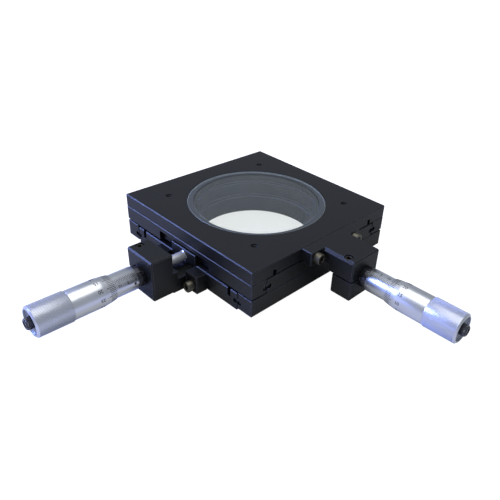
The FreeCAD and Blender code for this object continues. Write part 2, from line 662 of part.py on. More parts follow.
def main():
    os.makedirs("parts", exist_ok=True)
    x_axis_z = TOP_TOP - AXIS_DEPTH
    y_axis_z = AXIS_DEPTH

    write("base_plate", base_plate())
    left, right = lower_rails()
    write("left_lower_rail", left)
    write("right_lower_rail", right)
    write("middle_plate", middle_plate())
    rear, front = upper_rails()
    write("rear_upper_rail", rear)
    write("front_upper_rail", front)
    write("top_plate", top_plate())
    write("window_glass", window_glass())

    lower = rail_screws(LOWER_SCREW_STATIONS, LOWER_RAIL_LOW, MIDDLE_LOW)
    write("lower_rail_screws", group(quarter_turned(s) for s in lower))
    write("upper_rail_screws", group(rail_screws(UPPER_SCREW_STATIONS, UPPER_RAIL_LOW, TOP_LOW)))

    bed = stop_screw(WAY_OFFSET - STOP_OFFSET, LOWER_WAY_Z)
    write("base_stop_screws", group(quarter_turned(s) for s in four_corners(bed)))
    rail = stop_screw(WAY_OFFSET + STOP_OFFSET, LOWER_WAY_Z)
    write("lower_rail_stop_screws", group(quarter_turned(s) for s in four_corners(rail)))
    bed = stop_screw(WAY_OFFSET - STOP_OFFSET, UPPER_WAY_Z)
    write("middle_stop_screws", group(four_corners(bed)))
    rail = stop_screw(WAY_OFFSET + STOP_OFFSET, UPPER_WAY_Z)
    write("upper_rail_stop_screws", group(four_corners(rail)))

    strips, rollers = cage_and_rollers(LOWER_WAY_Z)
    write("y_roller_cages", quarter_turned(strips))
    write("y_crossed_rollers", quarter_turned(rollers))
    strips, rollers = cage_and_rollers(UPPER_WAY_Z)
    write("x_roller_cages", strips)
    write("x_crossed_rollers", rollers)

    write("y_drive_tab", drive_tab())
    write("y_drive_tab_screws", group(tab_screws()))
    tab_anvil = anvil_button(-TAB_OUTER - ANVIL_DEEP)
    write("y_anvil", quarter_turned(moved(tab_anvil, dz=y_axis_z)))
    write("x_anvil", moved(anvil_button(HALF - ANVIL_DEEP), dz=x_axis_z))

    write("x_bracket", x_bracket())
    write("y_bracket", y_bracket())
    write("x_bracket_screws", group(flange_screws(TOP_TOP - BRACKET_SCREW_DEPTH)))
    write("y_bracket_screws", group(quarter_turned(s) for s in flange_screws(BRACKET_SCREW_DEPTH)))
    write("x_clamp_screw", clamp_screw(TOP_TOP))
    write("y_clamp_screw", quarter_turned(clamp_screw(BLOCK_HEIGHT)))

    write_head("x", x_axis_z, moved)
    write_head("y", y_axis_z, quarter_turned)

    low_z = (BASE_SLOT_FLOOR + BASE_TOP) / 2
    high_z = (TOP_LOW + TOP_SLOT_ROOF) / 2
    low_pin = cylinder((BASE_SLOT, -BASE_PIN, BASE_SLOT_FLOOR - 3), (0, 0, 1), PIN_R, 8)
    write("y_spring_fixed_pin", low_pin)
    write("y_spring_moving_pin", cylinder((BASE_SLOT, FAR_PIN, 8.0), (0, 0, 1), PIN_R, 9.15))
    spring = return_spring(0, low_z, -FAR_PIN, BASE_PIN)
    write("y_return_spring", moved(quarter_turned(spring), dx=BASE_SLOT))
    write("x_spring_fixed_pin", cylinder((-BASE_PIN, TOP_SLOT, MIDDLE_TOP - 4), (0, 0, 1), PIN_R, 8))
    write("x_spring_moving_pin", cylinder((FAR_PIN, TOP_SLOT, 24.3), (0, 0, 1), PIN_R, 6.4))
    write("x_return_spring", return_spring(TOP_SLOT, high_z, -BASE_PIN, FAR_PIN))


main()
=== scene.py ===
"""Two-axis micrometer stage: anodised plates, satin chrome micrometer heads, screws and springs."""

import math

import bmesh
import bpy
from mathutils import Matrix, Vector


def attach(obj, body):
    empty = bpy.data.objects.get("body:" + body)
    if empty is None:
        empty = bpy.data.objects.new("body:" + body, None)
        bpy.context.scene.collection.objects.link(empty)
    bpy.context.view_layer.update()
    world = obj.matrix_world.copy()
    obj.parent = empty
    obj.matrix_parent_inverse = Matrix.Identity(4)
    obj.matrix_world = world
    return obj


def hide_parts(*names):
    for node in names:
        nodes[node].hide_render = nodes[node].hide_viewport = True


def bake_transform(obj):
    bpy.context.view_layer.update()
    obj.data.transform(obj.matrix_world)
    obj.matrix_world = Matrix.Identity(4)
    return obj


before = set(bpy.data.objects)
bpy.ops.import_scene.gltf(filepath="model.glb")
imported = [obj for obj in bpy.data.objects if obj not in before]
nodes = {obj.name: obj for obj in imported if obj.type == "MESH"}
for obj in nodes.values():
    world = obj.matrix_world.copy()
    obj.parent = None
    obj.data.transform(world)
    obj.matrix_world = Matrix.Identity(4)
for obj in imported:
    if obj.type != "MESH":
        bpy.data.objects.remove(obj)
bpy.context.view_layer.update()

MM = 0.001
SHARP = math.radians(28)

# Stations along each micrometer head, outward from the stage centre, and radii, in millimetres.
BLOCK_IN, BLOCK_OUT = 78.75, 93.6
ANVIL_FACE = 63.1
COLLAR_OUT = 98.7
COLLAR_R = 6.75
STEM_R = 5.0
SLEEVE_R = 7.15
SLEEVE_OUT = 131.0
THIMBLE_EDGE, BEVEL_END = 113.1, 120.4
THIMBLE_R = 8.6
EDGE_R = 7.5
GRIP_IN, GRIP_OUT = 138.4, 159.0
GRIP_R = 9.05
PAN_R = 7.35
CAP_IN, CAP_OUT = 155.6, 158.0
WEB_IN, WEB_OUT = 147.0, 152.0
TAIL_R, TAIL_OUT = 3.0, 155.2
KNOB_R, KNOB_OUT = 3.35, 161.5
KNOB_RIBS, KNOB_RIB_SHARE = 36, 0.055
SCREW_HEAD_IN = 160.2
KNOB_SCREW_IN = 150.2
SPINDLE_R, THREAD_R = 3.175, 3.9
THREAD_IN, THREAD_OUT = 105.0, 145.2
PITCH, CRESTS = 0.5, 76
STEM_BORE_IN, STEM_BORE_R = 92.0, 4.3
SLEEVE_BORE_IN, SLEEVE_BORE_R = 119.0, 5.9
SPANNER_AT, SPANNER_R = 101.3, 0.85
SPANNER_ANGLE = 7  # degrees
COLLAR_SLOTS = 6
GRIP_RIBS = 80
TRAVEL = 25

# Heights and places on the plates, in millimetres.
TOP = 32.75
TAPPED_AT = 42.1  # tapped holes, from the middle along X and along Y
TAPPED_CREST_R, TAPPED_PITCH = 1.78, 0.7
RAIL_LINE = 57.9
LOWER_STATIONS = (-42.0, -15.0, 15.0, 42.0)
UPPER_STATIONS = (-54.0, -31.0, 31.0, 54.0)
LOWER_RAIL_SEAT, UPPER_RAIL_SEAT = 5.0, 17.25  # undersides of the rail screws' heads
TAB_SEAT = 11.4
FLANGE_FACE = 70.5
BRACKET_SCREW_OFF = 17.75
BRACKET_SCREW_DEEP = 4.5
CLAMP_STATION, CLAMP_OFF = 87.0, 9.0
CLAMP_SEAT = {"x": TOP - 3.4, "y": 23.8}
BOTH = (-1, 1)

# Distances at which a finish changes, in metres, from the middle of the window or from a head's line.
BORE_WALL = (0.0431, 0.0427)
RUBBED_FROM = (0.0485, 0.0495)
GLASS_BOND = (0.04255, 0.04295)
GLASS_RIM = (0.04645, 0.04665)
KNURL_ROOT_SHADE = (0.00882, 0.00902)

# Each head's screw height, and the way its stations run: along +X, or along -Y.
HEIGHT = {"x": 18.91, "y": 13.84}
QUARTER = Matrix.Rotation(math.radians(-90), 4, "Z")
PLACE = {
    "x": Matrix.Translation((0, 0, HEIGHT["x"] * MM)) @ Matrix.Scale(MM, 4),
    "y": Matrix.Translation((0, 0, HEIGHT["y"] * MM)) @ QUARTER @ Matrix.Scale(MM, 4),
}
FIXED_BODY = {"x": "x_carriage", "y": "base"}
DATUM = {"x": 123.0, "y": 55.0}  # angle of the sleeve's long line, in degrees
DIVISIONS = 50
DIVISION = 7.2  # degrees for each of the thimble's divisions
SHOWN = 17.6  # division that stands at the long line
READING = 12.5 + SHOWN / 100
LINE_SUNK, LINE_PROUD = 0.05, 0.03
LINE_HALF, BEVEL_LINE_HALF, BEVEL_FIVE_HALF = 0.09, 0.13, 0.16
BEVEL_LINE_LONG, BEVEL_FIVE_LONG = 4.0, 5.4  # from the thimble's edge
SLEEVE_FIGURE, THIMBLE_FIGURE = 2.2, 2.9  # text sizes
BENDABLE = 0.45  # longest edge of a figure's mesh


# ---------------------------------------------------------------- finishes
class Value:
    """A shader socket that sums can be written with."""

    def __init__(self, finish, socket):
        self.finish = finish
        self.socket = socket

    def sum(self, operation, first, second):
        return self.finish.node("ShaderNodeMath", {"operation": operation}, {0: first, 1: second})

    def __add__(self, other):
        return self.sum("ADD", self, other)

    def __radd__(self, other):
        return self.sum("ADD", other, self)

    def __sub__(self, other):
        return self.sum("SUBTRACT", self, other)

    def __rsub__(self, other):
        return self.sum("SUBTRACT", other, self)

    def __mul__(self, other):
        return self.sum("MULTIPLY", self, other)

    def __rmul__(self, other):
        return self.sum("MULTIPLY", other, self)

    def __truediv__(self, other):
        return self.sum("DIVIDE", self, other)

    def __rtruediv__(self, other):
        return self.sum("DIVIDE", other, self)

    def __pow__(self, other):
        return self.sum("POWER", self, other)

    def most(self, other):
        return self.sum("MAXIMUM", self, other)


class Finish:
    """A material whose colour, roughness and surface come from nodes."""

    def __init__(self, name, **constants):
        self.material = bpy.data.materials.new(name)
        self.material.use_nodes = True
        self.tree = self.material.node_tree
        self.shader = self.tree.nodes["Principled BSDF"]
        for socket, value in constants.items():
            self.shader.inputs[socket.replace("_", " ")].default_value = value
        self.place = self.node("ShaderNodeTexCoord", output="Object")

    def node(self, kind, settings=None, inputs=None, output=0):
        made = self.tree.nodes.new(kind)
        for name, value in (settings or {}).items():
            if name == "stops":
                stops = made.color_ramp.elements
                while len(stops) < len(value):
                    stops.new(0.5)
                for stop, (at, colour) in zip(stops, value):
                    stop.position = at
                    stop.color = (*colour, 1)
            else:
                setattr(made, name, value)
        for key, value in (inputs or {}).items():
            socket = made.inputs[key]
            if isinstance(value, Value):
                self.tree.links.new(value.socket, socket)
            else:
                socket.default_value = value
        return Value(self, made.outputs[output])

    def feed(self, **sockets):
        for name, value in sockets.items():
            self.tree.links.new(value.socket, self.shader.inputs[name.replace("_", " ")])

    def noise(self, scale, detail=2.0, at=None, roughness=0.5):
        inputs = {"Vector": at or self.place, "Scale": scale, "Detail": detail, "Roughness": roughness}
        return self.node("ShaderNodeTexNoise", {}, inputs)

    def stretched(self, factors):
        settings = {"vector_type": "POINT"}
        return self.node("ShaderNodeMapping", settings, {"Vector": self.place, "Scale": factors})

    def mixed(self, first, second, share):
        settings = {"data_type": "RGBA"}
        return self.node("ShaderNodeMix", settings, {0: share, 6: first, 7: second}, 2)

    def ranged(self, value, low, high, to_low=0.0, to_high=1.0):
        inputs = {0: value, 1: low, 2: high, 3: to_low, 4: to_high}
        return self.node("ShaderNodeMapRange", {"clamp": True}, inputs)

    def part(self, vector, axis):
        return self.node("ShaderNodeSeparateXYZ", {}, {0: vector}, axis)

    def bump(self, height, strength, distance):
        inputs = {"Height": height, "Strength": strength, "Distance": distance}
        self.feed(Normal=self.node("ShaderNodeBump", {}, inputs))

    def show(self, share, other):
        """Shows another shader in that share of the material's own."""
        inputs = {0: share, 1: Value(self, self.shader.outputs[0]), 2: other}
        shown = self.node("ShaderNodeMixShader", {}, inputs)
        self.tree.links.new(shown.socket, self.tree.nodes["Material Output"].inputs["Surface"])

    def off_axis(self, axis):
        """Distance from a micrometer head's screw line, in metres."""
        across = self.part(self.place, "Y" if axis == "x" else "X")
        up = self.part(self.place, "Z") - HEIGHT[axis] * MM
        return (across * across + up * up) ** 0.5

    def worn_edge(self, size):
        """1 where two faces meet within that size, and 0 on the flat."""
        eased = self.node("ShaderNodeBevel", {"samples": 4}, {"Radius": size})
        true = self.node("ShaderNodeNewGeometry", output="Normal")
        meeting = self.node(
            "ShaderNodeVectorMath", {"operation": "DOT_PRODUCT"}, {0: eased, 1: true}, "Value"
        )
        return self.ranged(meeting, 0.995, 0.88)


def grey(level):
    """Colour without a hue."""
    return (level, level, level, 1)


def black_anodise(name, bore_highlight_heights=()):
    """Bead-blasted black anodise: fine grain, cloudy dye and edges rubbed a little paler.

    A plate with a bore is rubbed only near its outside. At each height where its bore meets a face it gets a
    thin paler ring, which is a painted highlight."""
    f = Finish(name, Specular_IOR_Level=0.42)
    grain = f.noise(5200, 2)
    cloud = f.noise(38, 4, roughness=0.6)
    dye = f.mixed((0.0028, 0.0030, 0.0036, 1), (0.0058, 0.0062, 0.0070, 1), cloud)
    speck = f.ranged(f.noise(2600, 1), 0.60, 0.78, 0.0, 0.45)
    dye = f.mixed(dye, (0.014, 0.015, 0.017, 1), speck)
    rubbed = f.worn_edge(0.00034) * f.ranged(f.noise(240, 3), 0.38, 0.66, 0.35, 0.9)
    relief = grain + 0.6 * f.noise(1500, 2)
    if bore_highlight_heights:
        x, y, z = (f.part(f.place, axis) for axis in "XYZ")
        squared = (x * x).most(y * y)
        rubbed = rubbed * f.ranged(squared ** 0.5, *RUBBED_FROM)
        inside = f.ranged((x * x + y * y) ** 0.5, *BORE_WALL)
        # Painted highlight: a thin paler, metallic ring on the bore wall at each height where the bore meets
        # a face.
        for height in bore_highlight_heights:
            away = ((z - height * MM) * (z - height * MM)) ** 0.5
            rubbed = rubbed.most(inside * f.ranged(away, 0.0007, 0.0004, 0.0, 0.85))
        relief = relief * (1 - 0.9 * inside)
    f.feed(Base_Color=f.mixed(dye, (0.17, 0.19, 0.25, 1), rubbed), Metallic=0.6 * rubbed)
    f.feed(Roughness=0.37 + 0.08 * cloud + 0.08 * grain - 0.12 * rubbed)
    f.bump(relief, 0.14, 0.00004)
    return f.material


def satin_chrome(axis, knurled=False):
    """Satin chrome over turned steel, with fine rings round the head."""
    name = f"{'knurled' if knurled else 'satin'}_chrome_{axis}"
    f = Finish(name, Metallic=1.0)
    rings = f.noise(1.0, 4, f.stretched((6000, 0, 0) if axis == "x" else (0, 6000, 0)), 0.7)
    cloud = f.noise(70, 3)
    chrome = f.mixed((0.70, 0.72, 0.76, 1), (0.86, 0.88, 0.92, 1), 0.65 * cloud + 0.35 * rings)
    if knurled:
        # On the knurl the colour runs from a dark grey at the roots of the ribs to a paler one at the
        # crests: painted shade in the grooves between the ribs.
        crest = f.ranged(f.off_axis(axis), *KNURL_ROOT_SHADE)
        chrome = f.mixed((0.34, 0.36, 0.43, 1), (0.58, 0.61, 0.70, 1), crest)
        f.feed(Base_Color=chrome, Roughness=0.62 - 0.08 * crest + 0.08 * cloud)
        f.bump(f.noise(3500, 2), 0.25, 0.00004)
        return f.material
    f.feed(Base_Color=chrome, Roughness=0.26 + 0.07 * rings + 0.05 * cloud)
    f.bump(rings, 0.05, 0.00001)
    return f.material


def dull_steel():
    """Grey bead-blasted face of the grips' end caps."""
    f = Finish("dull_steel", Metallic=1.0)
    grain = f.noise(2600, 3)
    f.feed(Base_Color=f.mixed((0.20, 0.21, 0.24, 1), (0.42, 0.44, 0.48, 1), grain))
    f.feed(Roughness=0.42 + 0.16 * grain)
    f.bump(grain, 0.2, 0.00004)
    return f.material


def ground_steel(name="ground_steel", metallic=1.0, rough=0.20):
    """Ground steel, bright on anvils, rollers and pins and satin on the spindles."""
    f = Finish(name, Metallic=metallic)
    fine = f.noise(4200, 3)
    cloud = f.noise(160, 3)
    f.feed(Base_Color=f.mixed((0.66, 0.68, 0.71, 1), (0.84, 0.85, 0.87, 1), cloud))
    f.feed(Roughness=rough + 0.12 * fine)
    f.bump(fine, 0.06, 0.00002)
    return f.material


def screw_steel(name, shade):
    """Socket screws: dulled steel with a warm film and brighter rubbed edges."""
    f = Finish(name, Metallic=1.0)
    film = f.noise(420, 4, roughness=0.65)
    rubbed = f.worn_edge(0.00022)
    dark, light, edge = (
        (*(shade * part for part in colour), 1)
        for colour in ((0.075, 0.070, 0.055), (0.20, 0.185, 0.145), (0.46, 0.44, 0.38))
    )
    colour = f.mixed(dark, light, film)
    f.feed(Base_Color=f.mixed(colour, edge, 0.7 * rubbed))
    f.feed(Roughness=0.30 + 0.20 * film)
    f.bump(f.noise(2600, 2), 0.15, 0.00004)
    return f.material


def black_steel():
    """Oil-blacked steel of the lock collars and knobs."""
    f = Finish("black_steel", Metallic=0.75)
    film = f.noise(520, 4)
    rubbed = f.worn_edge(0.0003)
    colour = f.mixed((0.020, 0.020, 0.026, 1), (0.055, 0.055, 0.064, 1), film)
    f.feed(Base_Color=f.mixed(colour, (0.42, 0.43, 0.50, 1), 0.75 * rubbed))
    f.feed(Roughness=0.18 + 0.16 * film)
    f.bump(f.noise(2400, 2), 0.12, 0.00004)
    return f.material


def cage_brass():
    """Machined brass of the roller cages."""
    f = Finish("cage_brass", Metallic=1.0)
    film = f.noise(300, 4)
    f.feed(Base_Color=f.mixed((0.46, 0.30, 0.09, 1), (0.70, 0.52, 0.22, 1), film))
    f.feed(Roughness=0.24 + 0.18 * film)
    f.bump(f.noise(1800, 2), 0.12, 0.00004)
    return f.material


def spring_steel():
    """Drawn wire, with a straw tint here and there."""
    f = Finish("spring_steel", Metallic=1.0)
    tint = f.noise(700, 3)
    f.feed(Base_Color=f.mixed((0.36, 0.36, 0.36, 1), (0.60, 0.56, 0.48, 1), tint))
    f.feed(Roughness=0.20 + 0.18 * tint)
    f.bump(f.noise(5200, 2), 0.10, 0.00002)
    return f.material


def clear_glass():
    """Clear window: a thin veil, thicker where it is bonded to its ledge, and a paler ground rim."""
    f = Finish("clear_glass", IOR=1.50, Transmission_Weight=1.0)
    x, y = f.part(f.place, "X"), f.part(f.place, "Y")
    out = (x * x + y * y) ** 0.5
    rim = f.ranged(out, *GLASS_RIM)
    bond = f.ranged(out, *GLASS_BOND, 0.0, 0.07)
    f.feed(Base_Color=f.mixed((0.835, 0.862, 0.838, 1), (0.70, 0.85, 0.92, 1), rim))
    dust = f.ranged(f.noise(900, 3), 0.66, 0.80, 0.0, 0.002)
    f.feed(Roughness=0.22 * rim + dust)
    frost = f.node("ShaderNodeBsdfDiffuse", {}, {"Color": (0.60, 0.68, 0.66, 1)})
    f.show(0.035 + bond + 0.36 * rim, frost)
    return f.material


def scale_black():
    """Baked enamel in the engraved lines and figures, also used for the black pins that are painted shade in
    the spanner holes.
    """
    f = Finish("scale_black")
    film = f.noise(1600, 3)
    f.feed(Base_Color=f.mixed((0.012, 0.012, 0.016, 1), (0.035, 0.034, 0.038, 1), film))
    f.feed(Roughness=0.36 + 0.2 * film)
    return f.material


FINISH = {
    "black_anodise": black_anodise("black_anodise"),
    # The heights are where each plate's bore meets a face, for the painted highlight rings there.
    "top_anodise": black_anodise("top_anodise", (23.75,)),
    "middle_anodise": black_anodise("middle_anodise", (22.95, 13.15)),
    "base_anodise": black_anodise("base_anodise", (12.25,)),
    "dull_steel": dull_steel(),
    "ground_steel": ground_steel(),
    "satin_steel": ground_steel("satin_steel", 0.6, 0.28),
    "screw_steel": screw_steel("screw_steel", 1.0),
    # A copy of the screw steel at 0.4 of its brightness, for the clamp screws.
    "darker_screw_steel": screw_steel("darker_screw_steel", 0.4),
    "black_steel": black_steel(),
    "cage_brass": cage_brass(),
    "spring_steel": spring_steel(),
    "clear_glass": clear_glass(),
    "scale_black": scale_black(),
    "satin_chrome_x": satin_chrome("x"),
    "satin_chrome_y": satin_chrome("y"),
    "knurled_chrome_x": satin_chrome("x", True),
    "knurled_chrome_y": satin_chrome("y", True),
}


# ---------------------------------------------------------------- shapes
def linked(name, data):
    """An object of the scene, at the origin."""
    made = bpy.data.objects.new(name, data)
    bpy.context.scene.collection.objects.link(made)
    return made


def evaluated(piece):
    """Plain mesh of a piece with its modifiers, or of a text."""
    bpy.context.view_layer.update()
    graph = bpy.context.evaluated_depsgraph_get()
    return bpy.data.meshes.new_from_object(piece.evaluated_get(graph))


def new_piece(name, mesh, finish):
    """An object with one finish."""
    piece = linked(name, mesh)
    mesh.materials.clear()
    mesh.materials.append(FINISH[finish])
    return piece


def settled(piece, body, replaced=()):
    """Smooth the rounds, keep the corners, and put the piece on its body."""
    mesh = piece.data
    mesh.shade_smooth()
    mesh.set_sharp_from_angle(angle=SHARP)
    if body:
        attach(piece, body)
    if replaced:
        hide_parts(*replaced)
    return piece


def tidy_mesh(bm, name):
    """Merge doubles, face everything outward and return a mesh."""
    bmesh.ops.remove_doubles(bm, verts=bm.verts, dist=1e-6)
    bmesh.ops.recalc_face_normals(bm, faces=bm.faces)
    mesh = bpy.data.meshes.new(name)
    bm.to_mesh(mesh)
    bm.free()
    return mesh


def lathe(profile, around=96):
    """Closed solid of revolution about X, from points of a station and a radius.

    A point's third entry is a function of the angle that scales its radius, as a knurl or a hexagon does."""
    bm = bmesh.new()
    rings = []
    for station, radius, *shape in profile:
        if radius < 1e-6:
            rings.append([bm.verts.new((station, 0, 0))])
            continue
        ring = []
        for n in range(around):
            angle = 2 * math.pi * n / around
            r = radius * (shape[0](angle) if shape else 1)
            ring.append(bm.verts.new((station, r * math.cos(angle), r * math.sin(angle))))
        rings.append(ring)
    closed = len(rings[0]) > 1 or len(rings[-1]) > 1
    pairs = list(zip(rings, rings[1:] + rings[:1])) if closed else list(zip(rings, rings[1:]))
    for one, two in pairs:
        for n in range(around):
            m = (n + 1) % around
            if len(one) == 1 and len(two) == 1:
                continue
            if len(one) == 1:
                bm.faces.new((one[0], two[n], two[m]))
            elif len(two) == 1:
                bm.faces.new((one[n], two[0], one[m]))
            else:
                bm.faces.new((one[n], two[n], two[m], one[m]))
    return bm


def hexagon(angle):
    """Radius of a hexagon of unit half width across its flats."""
    sixth = math.pi / 3
    off = (angle + sixth / 2) % sixth - sixth / 2
    return 1 / math.cos(off)


def ribbed(count, depth):
    """Radius factor of a straight knurl with that many ribs."""

    def form(angle):
        return 1 - depth * (0.5 + 0.5 * math.cos(angle * count))

    return form


def skinned(bm, sections):
    """Closed skin over a row of loops that have the same number of corners."""
    count = len(sections[0])
    for one, two in zip(sections, sections[1:]):
        for n in range(count):
            m = (n + 1) % count
            bm.faces.new((one[n], one[m], two[m], two[n]))
    bm.faces.new(sections[0])
    bm.faces.new(sections[-1][::-1])


def block(bm, low, high):
    """Box between two corners."""
    xs, ys, zs = zip(low, high)
    verts = [bm.verts.new((x, y, z)) for x in xs for y in ys for z in zs]
    for face in ((0, 1, 3, 2), (4, 6, 7, 5), (0, 4, 5, 1), (2, 3, 7, 6), (0, 2, 6, 4), (1, 5, 7, 3)):
        bm.faces.new([verts[n] for n in face])


def without(piece, cutter):
    """The piece with the cutter taken away. The cutter is used up."""
    change = piece.modifiers.new("cut", "BOOLEAN")
    change.solver = "EXACT"
    change.object = cutter
    mesh = evaluated(piece)
    piece.modifiers.remove(change)
    piece.data = mesh
    bpy.data.objects.remove(cutter)
    return piece


# ---------------------------------------------------------------- repeats
class Tree:
    """A Geometry Nodes tree with named inputs."""

    def __init__(self, name, sockets):
        self.group = bpy.data.node_groups.new(name, "GeometryNodeTree")
        face = self.group.interface
        face.new_socket("Geometry", in_out="INPUT", socket_type="NodeSocketGeometry")
        for label, kind in sockets:
            face.new_socket(label, in_out="INPUT", socket_type=kind)
        face.new_socket("Geometry", in_out="OUTPUT", socket_type="NodeSocketGeometry")
        self.inputs = self.group.nodes.new("NodeGroupInput")
        self.output = self.group.nodes.new("NodeGroupOutput")

    def given(self, label):
        return self.inputs.outputs[label]

    def node(self, kind, settings=None, inputs=None):
        made = self.group.nodes.new(kind)
        for name, value in (settings or {}).items():
            setattr(made, name, value)
        for key, value in (inputs or {}).items():
            if isinstance(value, bpy.types.NodeSocket):
                self.group.links.new(value, made.inputs[key])
            else:
                made.inputs[key].default_value = value
        return made.outputs

    def finish(self, instances):
        """Real geometry with its finish, out of the tree."""
        real = self.node("GeometryNodeRealizeInstances", {}, {"Geometry": instances})
        inputs = {"Geometry": real[0], "Material": self.given("Finish")}
        done = self.node("GeometryNodeSetMaterial", {}, inputs)
        self.group.links.new(done[0], self.output.inputs["Geometry"])
        return self.group


def stepping_tree():
    """Copies of one shape, each a further step along and turned further about an axis."""
    t = Tree(
        "stepped copies",
        [
            ("Count", "NodeSocketInt"),
            ("Start", "NodeSocketVector"),
            ("Step", "NodeSocketVector"),
            ("Axis", "NodeSocketVector"),
            ("First Turn", "NodeSocketFloat"),
            ("Turn", "NodeSocketFloat"),
            ("Finish", "NodeSocketMaterial"),
        ],
    )
    line = t.node(
        "GeometryNodeMeshLine",
        {"mode": "OFFSET"},
        {"Count": t.given("Count"), "Start Location": t.given("Start"), "Offset": t.given("Step")},
    )
    index = t.node("GeometryNodeInputIndex")
    angle = t.node(
        "ShaderNodeMath",
        {"operation": "MULTIPLY_ADD"},
        {0: index[0], 1: t.given("Turn"), 2: t.given("First Turn")},
    )
    turn = t.node("FunctionNodeAxisAngleToRotation", {}, {"Axis": t.given("Axis"), "Angle": angle[0]})
    copies = t.node(
        "GeometryNodeInstanceOnPoints",
        {},
        {"Points": line[0], "Instance": t.given("Geometry"), "Rotation": turn[0]},
    )
    return t.finish(copies[0])


def spotted_tree():
    """One pattern piece at every point of the mesh, all turned alike."""
    t = Tree(
        "pieces on spots",
        [
            ("Pattern", "NodeSocketObject"),
            ("Turn", "NodeSocketVector"),
            ("Finish", "NodeSocketMaterial"),
        ],
    )
    shape = t.node("GeometryNodeObjectInfo", {}, {"Object": t.given("Pattern")})
    turn = t.node("FunctionNodeEulerToRotation", {}, {0: t.given("Turn")})
    copies = t.node(
        "GeometryNodeInstanceOnPoints",
        {},
        {"Points": t.given("Geometry"), "Instance": shape["Geometry"], "Rotation": turn[0]},
    )
    return t.finish(copies[0])


STEPPED = stepping_tree()
SPOTTED = spotted_tree()


def grown(piece, tree, **values):
    """Runs a tree on a piece with those inputs, and leaves a plain mesh."""
    made = piece.modifiers.new("repeat", "NODES")
    made.node_group = tree
    keys = {s.name: s.identifier for s in tree.interface.items_tree if s.in_out == "INPUT"}
    for label, value in values.items():
        made[keys[label.replace("_", " ")]] = value
    mesh = evaluated(piece)
    piece.modifiers.remove(made)
    piece.data = mesh
    return piece


def ringed(piece, count, first, turn, finish):
    """Copies of a piece round a head's line, each turned by so many radians from the last."""
    return grown(
        piece, STEPPED, Count=count, Start=(0, 0, 0), Step=(0, 0, 0), Axis=(1, 0, 0),
        First_Turn=first, Turn=turn, Finish=FINISH[finish],
    )


def on_spots(name, spots, pattern, turn, finish):
    """The pattern at every spot, in millimetres. The pattern is used up."""
    mesh = bpy.data.meshes.new(name)
    mesh.from_pydata([[c * MM for c in spot] for spot in spots], [], [])
    piece = grown(linked(name, mesh), SPOTTED, Pattern=pattern, Turn=turn, Finish=FINISH[finish])
    bpy.data.objects.remove(pattern)
    return piece


def joined(name, pieces):
    """One piece out of several, with the first one's finish."""
    bm = bmesh.new()
    for piece in pieces:
        bm.from_mesh(piece.data)
    mesh = bpy.data.meshes.new(name)
    bm.to_mesh(mesh)
    bm.free()
    finish = pieces[0].data.materials[0]
    for piece in pieces:
        bpy.data.objects.remove(piece)
    mesh.materials.append(finish)
    return linked(name, mesh)


# ---------------------------------------------------------------- plates and other frame pieces
KEPT = {
    "top_anodise": ("top_plate",),
    "middle_anodise": ("middle_plate",),
    "base_anodise": ("base_plate",),
    "black_anodise": (
        "left_lower_rail", "right_lower_rail", "rear_upper_rail", "front_upper_rail",
        "x_bracket", "y_bracket", "y_drive_tab",
    ),
    "black_steel": (
        "base_stop_screws", "lower_rail_stop_screws", "middle_stop_screws", "upper_rail_stop_screws",
    ),
    "ground_steel": (
        "x_anvil", "y_anvil", "x_crossed_rollers", "y_crossed_rollers", "x_thread_nut", "y_thread_nut",
        "x_spring_fixed_pin", "y_spring_fixed_pin", "x_spring_moving_pin", "y_spring_moving_pin",
        "x_thimble_nut", "y_thimble_nut",
    ),
    "cage_brass": ("x_roller_cages", "y_roller_cages"),
    "spring_steel": ("x_ratchet_spring", "y_ratchet_spring"),
    "clear_glass": ("window_glass",),
}
for finish, names in KEPT.items():
    for name in names:
        piece = nodes[name]
        if not piece.material_slots:
            piece.data.materials.append(FINISH[finish])
        for holder in piece.material_slots:
            holder.material = FINISH[finish]


# ---------------------------------------------------------------- micrometer heads
def head_piece(name, axis, bm, finish):
    """Piece of a head, drawn in millimetres along the head."""
    mesh = tidy_mesh(bm, name)
    mesh.transform(PLACE[axis])
    return new_piece(name, mesh, finish)


def turned_piece(name, axis, profile, finish, around=96):
    """Round piece of a head, from its profile along the head."""
    return head_piece(name, axis, lathe(profile, around), finish)


def plug(axis, radius, low, high, finish):
    """Short pin standing in the sleeve where its spanner hole is: one cuts the hole, and a black one stands
    in the hole as painted shade.
    """
    bm = bmesh.new()
    bmesh.ops.create_cone(
        bm, cap_ends=True, segments=24, radius1=radius, radius2=radius, depth=high - low,
    )
    turn = Matrix.Rotation(math.radians(90), 4, "X")
    around = Matrix.Rotation(math.radians(SPANNER_ANGLE), 4, "X")
    bm.transform(around @ Matrix.Translation((SPANNER_AT, (low + high) / 2, 0)) @ turn)
    return head_piece(f"{axis}_spanner_hole_bottom", axis, bm, finish)


